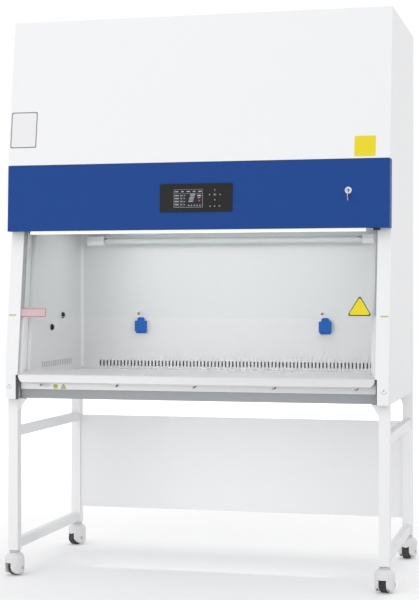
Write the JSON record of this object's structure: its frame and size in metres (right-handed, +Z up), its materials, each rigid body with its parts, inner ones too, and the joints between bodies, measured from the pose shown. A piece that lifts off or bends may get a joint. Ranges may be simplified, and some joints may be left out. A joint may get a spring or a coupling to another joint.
{
  "type": "biosafety cabinet",
  "caption": "Biosafety cabinet with a sliding glass sash, blue control fascia and stainless work zone, on a wheeled stand.",
  "frame": {"origin": "on the floor under the middle of the plan", "axes": "+Z up, the front with the sash faces -Y, +X to the right of someone facing it"},
  "size_m": [1.536, 0.838, 2.243],
  "materials": {
    "white_paint": "satin powder coat",
    "blue_paint": "satin powder coat",
    "grey_paint": "satin",
    "stainless": "brushed",
    "black_rubber": "matt",
    "lamp_glass": "clear",
    "white_plastic": "matt",
    "blue_plastic": "semi-gloss",
    "filter_media": "matt",
    "machined_alloy": "satin",
    "clear_glass": "clear",
    "bright_steel": "bright",
    "black_gloss": "gloss",
    "caster_white": "satin",
    "wheel_black": "matt"
  },
  "bodies": {
    "cabinet": {"side_panel_left": "white_paint", "side_panel_right": "white_paint", "rear_cover": "white_paint", "top_panel": "white_paint", "front_upper_panel": "white_paint", "control_fascia": "blue_paint", "column_left": "white_paint", "column_right": "white_paint", "bottom_pan": "grey_paint", "front_sill": "grey_paint", "armrest": "stainless", "work_tray": "stainless", "liner_back": "stainless", "liner_left": "stainless", "liner_right": "stainless", "service_ports": "black_rubber", "uv_lamp": "lamp_glass", "lamp_holders": "white_plastic", "work_lamp": "white_plastic", "socket_boxes": "white_plastic", "supply_filter": "filter_media", "flow_diffuser": "stainless", "exhaust_filter": "filter_media", "plenum_box": "grey_paint", "blower_motor": "grey_paint", "exhaust_collar": "machined_alloy", "drive_belts": "black_rubber", "gear_motor": "grey_paint", "shaft_bearings": "machined_alloy", "display_module": "black_gloss", "lock_body": "bright_steel", "stand_left": "white_paint", "stand_right": "white_paint", "stand_back_panel": "white_paint", "stand_brackets": "white_paint", "caster_stems": "bright_steel"},
    "sash": {"sash_glass": "clear_glass", "sash_clamps": "machined_alloy"},
    "drive_shaft": {"drive_shaft": "bright_steel"},
    "belt_idlers": {"belt_idlers": "machined_alloy"},
    "socket_cover_left": {"socket_cover_left": "blue_plastic"},
    "socket_cover_right": {"socket_cover_right": "blue_plastic"},
    "impeller": {"impeller": "machined_alloy"},
    "lock_key": {"lock_key": "bright_steel"},
    "key_lamp": {"key_lamp": "black_gloss"},
    "key_left": {"key_left": "black_gloss"},
    "key_enter": {"key_enter": "black_gloss"},
    "key_right": {"key_right": "black_gloss"},
    "key_set": {"key_set": "black_gloss"},
    "key_up": {"key_up": "black_gloss"},
    "key_down": {"key_down": "black_gloss"},
    "key_power": {"key_power": "black_gloss"},
    "caster_front_left": {"caster_fork_front_left": "caster_white"},
    "wheel_front_left": {"caster_wheel_front_left": "wheel_black"},
    "caster_front_right": {"caster_fork_front_right": "caster_white"},
    "wheel_front_right": {"caster_wheel_front_right": "wheel_black"},
    "caster_rear_left": {"caster_fork_rear_left": "caster_white"},
    "wheel_rear_left": {"caster_wheel_rear_left": "wheel_black"},
    "caster_rear_right": {"caster_fork_rear_right": "caster_white"},
    "wheel_rear_right": {"caster_wheel_rear_right": "wheel_black"}
  },
  "joints": [
    {"name": "sash_slide", "type": "slide", "parent": "cabinet", "child": "sash", "axis": [0, 0.1357, 0.9907], "range_m": [-0.205, 0.2]},
    {"name": "drive_shaft_turn", "type": "hinge", "parent": "cabinet", "child": "drive_shaft", "pos_m": [0, -0.22036, 1.87428], "axis": [1, 0, 0], "range_deg": [-800, 800]},
    {"name": "belt_idlers_turn", "type": "hinge", "parent": "cabinet", "child": "belt_idlers", "pos_m": [0, -0.36558, 0.81418], "axis": [1, 0, 0], "range_deg": [-800, 800]},
    {"name": "socket_cover_left_flip", "type": "hinge", "parent": "cabinet", "child": "socket_cover_left", "pos_m": [-0.4, 0.278, 1.003], "axis": [-1, 0, 0], "range_deg": [0, 100]},
    {"name": "socket_cover_right_flip", "type": "hinge", "parent": "cabinet", "child": "socket_cover_right", "pos_m": [0.4, 0.278, 1.003], "axis": [-1, 0, 0], "range_deg": [0, 100]},
    {"name": "impeller_spin", "type": "hinge", "parent": "cabinet", "child": "impeller", "pos_m": [-0.33, 0.10086, 1.697], "axis": [0, 0, 1], "continuous": true},
    {"name": "lock_key_turn", "type": "hinge", "parent": "cabinet", "child": "lock_key", "pos_m": [0.596, -0.3784, 1.492], "axis": [0, -0.9994, 0.0349], "range_deg": [-90, 0]},
    {"name": "key_lamp_press", "type": "slide", "parent": "cabinet", "child": "key_lamp", "axis": [0, 0.9994, -0.0349], "range_m": [0, 0.0006], "stiffness_N_per_m": 800, "springref_m": -0.0003},
    {"name": "key_left_press", "type": "slide", "parent": "cabinet", "child": "key_left", "axis": [0, 0.9994, -0.0349], "range_m": [0, 0.0006], "stiffness_N_per_m": 800, "springref_m": -0.0003},
    {"name": "key_enter_press", "type": "slide", "parent": "cabinet", "child": "key_enter", "axis": [0, 0.9994, -0.0349], "range_m": [0, 0.0006], "stiffness_N_per_m": 800, "springref_m": -0.0003},
    {"name": "key_right_press", "type": "slide", "parent": "cabinet", "child": "key_right", "axis": [0, 0.9994, -0.0349], "range_m": [0, 0.0006], "stiffness_N_per_m": 800, "springref_m": -0.0003},
    {"name": "key_set_press", "type": "slide", "parent": "cabinet", "child": "key_set", "axis": [0, 0.9994, -0.0349], "range_m": [0, 0.0006], "stiffness_N_per_m": 800, "springref_m": -0.0003},
    {"name": "key_up_press", "type": "slide", "parent": "cabinet", "child": "key_up", "axis": [0, 0.9994, -0.0349], "range_m": [0, 0.0006], "stiffness_N_per_m": 800, "springref_m": -0.0003},
    {"name": "key_down_press", "type": "slide", "parent": "cabinet", "child": "key_down", "axis": [0, 0.9994, -0.0349], "range_m": [0, 0.0006], "stiffness_N_per_m": 800, "springref_m": -0.0003},
    {"name": "key_power_press", "type": "slide", "parent": "cabinet", "child": "key_power", "axis": [0, 0.9994, -0.0349], "range_m": [0, 0.0006], "stiffness_N_per_m": 800, "springref_m": -0.0003},
    {"name": "caster_front_left_swivel", "type": "hinge", "parent": "cabinet", "child": "caster_front_left", "pos_m": [-0.73, -0.36, 0.08], "axis": [0, 0, 1], "continuous": true},
    {"name": "wheel_front_left_roll", "type": "hinge", "parent": "caster_front_left", "child": "wheel_front_left", "pos_m": [-0.72624, -0.35294, 0.032], "axis": [0.8829, -0.4695, 0], "continuous": true},
    {"name": "caster_front_right_swivel", "type": "hinge", "parent": "cabinet", "child": "caster_front_right", "pos_m": [0.73, -0.36, 0.08], "axis": [0, 0, 1], "continuous": true},
    {"name": "wheel_front_right_roll", "type": "hinge", "parent": "caster_front_right", "child": "wheel_front_right", "pos_m": [0.73139, -0.35212, 0.032], "axis": [0.9848, -0.1736, 0], "continuous": true},
    {"name": "caster_rear_left_swivel", "type": "hinge", "parent": "cabinet", "child": "caster_rear_left", "pos_m": [-0.73, 0.39, 0.08], "axis": [0, 0, 1], "continuous": true},
    {"name": "wheel_rear_left_roll", "type": "hinge", "parent": "caster_rear_left", "child": "wheel_rear_left", "pos_m": [-0.73376, 0.38294, 0.032], "axis": [-0.8829, 0.4695, 0], "continuous": true},
    {"name": "caster_rear_right_swivel", "type": "hinge", "parent": "cabinet", "child": "caster_rear_right", "pos_m": [0.73, 0.39, 0.08], "axis": [0, 0, 1], "continuous": true},
    {"name": "wheel_rear_right_roll", "type": "hinge", "parent": "caster_rear_right", "child": "wheel_rear_right", "pos_m": [0.72861, 0.38212, 0.032], "axis": [-0.9848, 0.1736, 0], "continuous": true}
  ],
  "couplings": [
    {"joint": "drive_shaft_turn", "follows": "sash_slide", "rad_per_m": -66.667},
    {"joint": "belt_idlers_turn", "follows": "sash_slide", "rad_per_m": -66.667}
  ]
}
